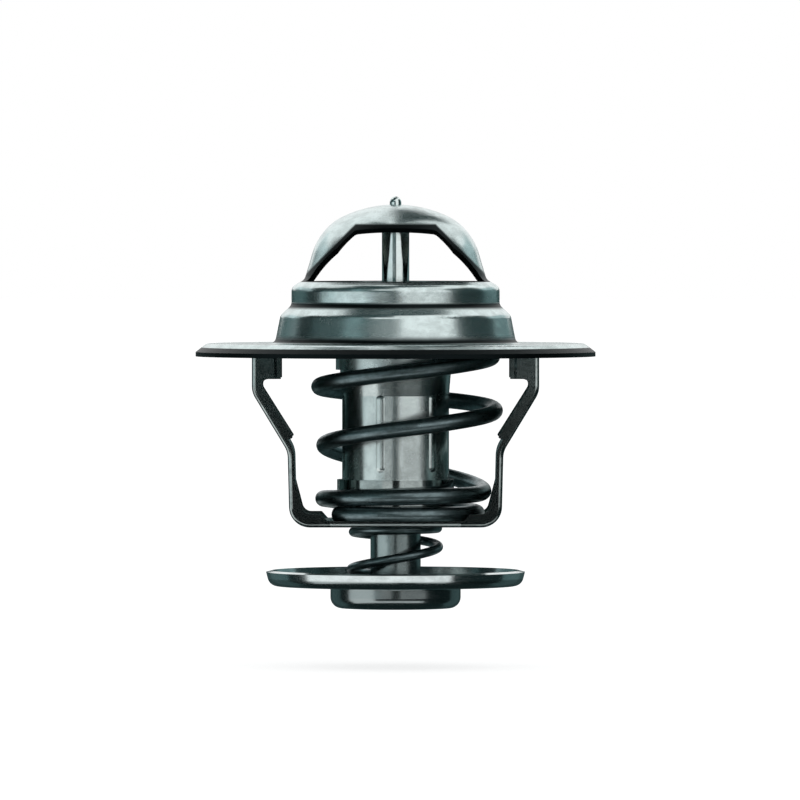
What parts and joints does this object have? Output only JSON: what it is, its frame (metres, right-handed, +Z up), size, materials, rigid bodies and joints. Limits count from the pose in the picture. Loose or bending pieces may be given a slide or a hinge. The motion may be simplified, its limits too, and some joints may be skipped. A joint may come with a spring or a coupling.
{
  "type": "engine thermostat",
  "caption": "Wax engine thermostat: pressed flange with a domed bridge over two windows, spring-loaded main valve, and a sprung bypass disc on a stem below.",
  "frame": {"origin": "centre of the flange rim's lower plane", "axes": "+Z up the axis to the bridge's crown; +X along the bridge and from leg to leg"},
  "size_m": [0.054, 0.054, 0.0556],
  "materials": {
    "pressed_steel": "rolled stainless sheet, satin",
    "frame_steel": "rolled stainless strip, satin",
    "polished_steel": "ground and polished",
    "element_shell": "drawn and tumbled, plated grey",
    "brass_guide": "turned",
    "rubber": "matt moulded rubber",
    "wax": "solid wax, sealed inside",
    "spring_wire": "dark oil-tempered wire, slightly glossy",
    "disc_steel": "pressed steel, satin"
  },
  "bodies": {
    "housing": {"upper_housing": "pressed_steel", "piston_pin": "polished_steel", "lower_frame": "frame_steel", "main_spring": "spring_wire"},
    "element": {"element_cup": "element_shell", "pin_guide": "brass_guide", "wiper_ring": "rubber", "rubber_sleeve": "rubber", "wax_charge": "wax", "main_valve_plate": "pressed_steel", "main_valve_seal": "rubber", "bypass_stem": "polished_steel", "snap_ring": "spring_wire", "bypass_spring": "spring_wire"},
    "bypass_valve": {"bypass_disc": "disc_steel"}
  },
  "joints": [
    {"name": "valve_lift", "type": "slide", "parent": "housing", "child": "element", "axis": [0, 0, -1], "range_m": [0, 0.008], "stiffness_N_per_m": 2500, "springref_m": -0.02, "deforming": ["main_spring"]},
    {"name": "bypass_slide", "type": "slide", "parent": "element", "child": "bypass_valve", "axis": [0, 0, 1], "range_m": [0, 0.004], "stiffness_N_per_m": 1200, "springref_m": -0.008, "deforming": ["bypass_spring"]}
  ]
}
